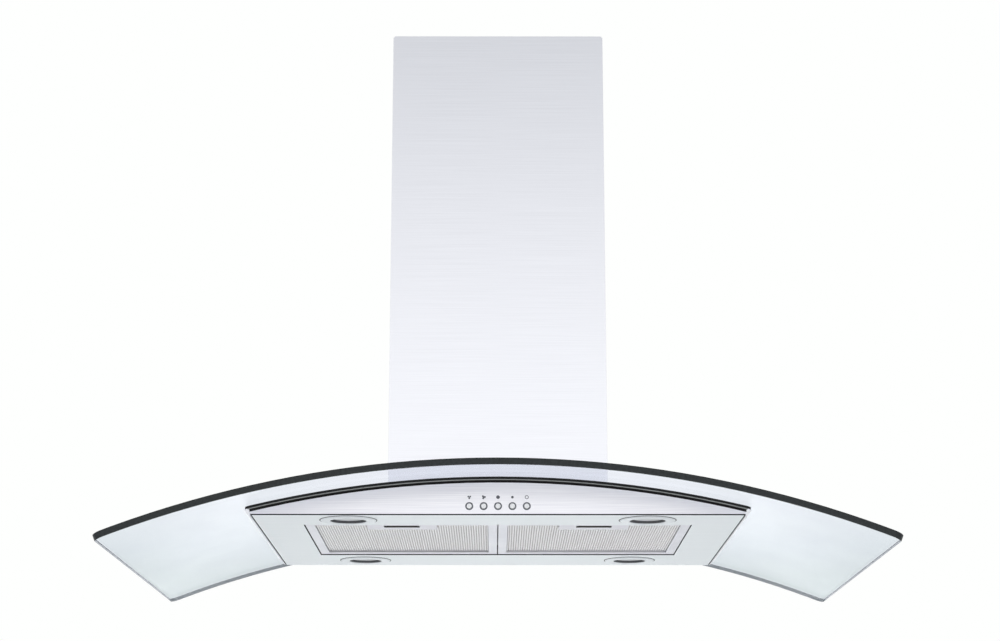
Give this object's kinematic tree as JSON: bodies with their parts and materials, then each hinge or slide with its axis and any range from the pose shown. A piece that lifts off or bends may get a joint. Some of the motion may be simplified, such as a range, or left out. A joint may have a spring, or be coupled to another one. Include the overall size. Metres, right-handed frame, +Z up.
{
  "type": "island range hood",
  "caption": "Ceiling-hung island range hood: telescopic square steel chimney over an arched clear glass canopy and a slim steel body with push buttons, round lamps and grease filters.",
  "frame": {"origin": "centre of the ceiling plate's top face, in the ceiling plane", "axes": "+Z up, -Y towards the controls at the front, +X to the right seen from the front"},
  "size_m": [0.9, 0.6, 0.6613],
  "materials": {
    "galvanised_steel": "plain zinc-coated sheet",
    "stainless_cover": "brushed stainless sheet",
    "stainless_body": "brushed stainless sheet",
    "steel_fixings": "bright steel fixings",
    "black_plastic": "moulded black plastic",
    "motor_metal": "dark painted motor can",
    "wheel_plastic": "moulded dark plastic",
    "damper_plastic": "moulded grey plastic",
    "canopy_glass": "clear toughened glass with a polished edge",
    "black_rubber": "black seal",
    "nylon": "natural nylon",
    "bezel_chrome": "satin chrome ring",
    "icon_print": "grey print",
    "button_white": "white button cap",
    "lamp_ring_metal": "satin ring",
    "lamp_glass": "frosted lens",
    "filter_aluminium": "satin aluminium frame",
    "mesh_aluminium": "ribbed aluminium mesh",
    "latch_metal": "satin plate",
    "latch_plastic": "dark moulded slider"
  },
  "bodies": {
    "ceiling": {"ceiling_plate": "galvanised_steel", "ceiling_tabs": "galvanised_steel", "upper_rails": "galvanised_steel", "upper_cover_front": "stainless_cover", "upper_cover_rear": "stainless_cover", "upper_cover_screws": "steel_fixings"},
    "hood": {"lower_rails": "galvanised_steel", "lower_cover_front": "stainless_cover", "lower_cover_rear": "stainless_cover", "rail_screws": "steel_fixings", "lower_cover_screws": "steel_fixings", "canopy_bolts": "steel_fixings", "pan_screws": "steel_fixings", "damper_pin": "steel_fixings", "cover_spacers": "black_plastic", "blower_housing": "galvanised_steel", "blower_scroll": "black_plastic", "motor": "motor_metal", "motor_bracket": "galvanised_steel", "outlet_collar": "black_plastic", "junction_box": "black_plastic", "junction_box_lid": "black_plastic", "cable_gland": "black_plastic", "canopy_glass": "canopy_glass", "upper_gasket": "black_rubber", "lower_gasket": "black_rubber", "canopy_bushes": "nylon", "body_shell": "stainless_body", "front_fascia": "stainless_body", "rear_fascia": "stainless_body", "fascia_seals": "black_rubber", "pan_seal": "black_rubber", "bottom_pan": "stainless_body", "pan_brackets": "galvanised_steel", "switch_bank": "black_plastic", "button_bezels": "bezel_chrome", "panel_icons": "icon_print", "lamp_rings": "lamp_ring_metal", "lamp_lenses": "lamp_glass", "lamp_cups": "galvanised_steel"},
    "impeller": {"impeller": "wheel_plastic"},
    "damper_left": {"damper_left": "damper_plastic"},
    "damper_right": {"damper_right": "damper_plastic"},
    "button_1": {"button_1": "button_white"},
    "button_2": {"button_2": "button_white"},
    "button_3": {"button_3": "button_white"},
    "button_4": {"button_4": "button_white"},
    "button_5": {"button_5": "button_white"},
    "filter_left": {"filter_frame_left": "filter_aluminium", "filter_mesh_left": "mesh_aluminium", "latch_plate_left": "latch_metal", "latch_spring_left": "steel_fixings"},
    "latch_left": {"latch_slider_left": "latch_plastic"},
    "filter_right": {"filter_frame_right": "filter_aluminium", "filter_mesh_right": "mesh_aluminium", "latch_plate_right": "latch_metal", "latch_spring_right": "steel_fixings"},
    "latch_right": {"latch_slider_right": "latch_plastic"}
  },
  "joints": [
    {"name": "height_adjust", "type": "slide", "parent": "ceiling", "child": "hood", "axis": [0, 0, -1], "range_m": [0, 0.25]},
    {"name": "impeller_spin", "type": "hinge", "parent": "hood", "child": "impeller", "pos_m": [0, 0.016, -0.455], "axis": [1, 0, 0], "continuous": true},
    {"name": "damper_left_swing", "type": "hinge", "parent": "hood", "child": "damper_left", "pos_m": [0, 0, -0.2985], "axis": [0, 1, 0], "range_deg": [0, 75]},
    {"name": "damper_right_swing", "type": "hinge", "parent": "hood", "child": "damper_right", "pos_m": [0, 0, -0.2985], "axis": [0, -1, 0], "range_deg": [0, 75]},
    {"name": "button_1_press", "type": "slide", "parent": "hood", "child": "button_1", "axis": [0, 1, 0], "range_m": [0, 0.0015], "stiffness_N_per_m": 500, "springref_m": -0.001},
    {"name": "button_2_press", "type": "slide", "parent": "hood", "child": "button_2", "axis": [0, 1, 0], "range_m": [0, 0.0015], "stiffness_N_per_m": 500, "springref_m": -0.001},
    {"name": "button_3_press", "type": "slide", "parent": "hood", "child": "button_3", "axis": [0, 1, 0], "range_m": [0, 0.0015], "stiffness_N_per_m": 500, "springref_m": -0.001},
    {"name": "button_4_press", "type": "slide", "parent": "hood", "child": "button_4", "axis": [0, 1, 0], "range_m": [0, 0.0015], "stiffness_N_per_m": 500, "springref_m": -0.001},
    {"name": "button_5_press", "type": "slide", "parent": "hood", "child": "button_5", "axis": [0, 1, 0], "range_m": [0, 0.0015], "stiffness_N_per_m": 500, "springref_m": -0.001},
    {"name": "filter_left_drop", "type": "hinge", "parent": "hood", "child": "filter_left", "pos_m": [-0.11435, 0.11775, -0.618], "axis": [1, 0, 0], "range_deg": [0, 60]},
    {"name": "latch_left_slide", "type": "slide", "parent": "filter_left", "child": "latch_left", "axis": [0, 1, 0], "range_m": [0, 0.004], "stiffness_N_per_m": 400, "springref_m": -0.002, "deforming": ["latch_spring_left"]},
    {"name": "filter_right_drop", "type": "hinge", "parent": "hood", "child": "filter_right", "pos_m": [0.11435, 0.11775, -0.618], "axis": [1, 0, 0], "range_deg": [0, 60]},
    {"name": "latch_right_slide", "type": "slide", "parent": "filter_right", "child": "latch_right", "axis": [0, 1, 0], "range_m": [0, 0.004], "stiffness_N_per_m": 400, "springref_m": -0.002, "deforming": ["latch_spring_right"]}
  ]
}
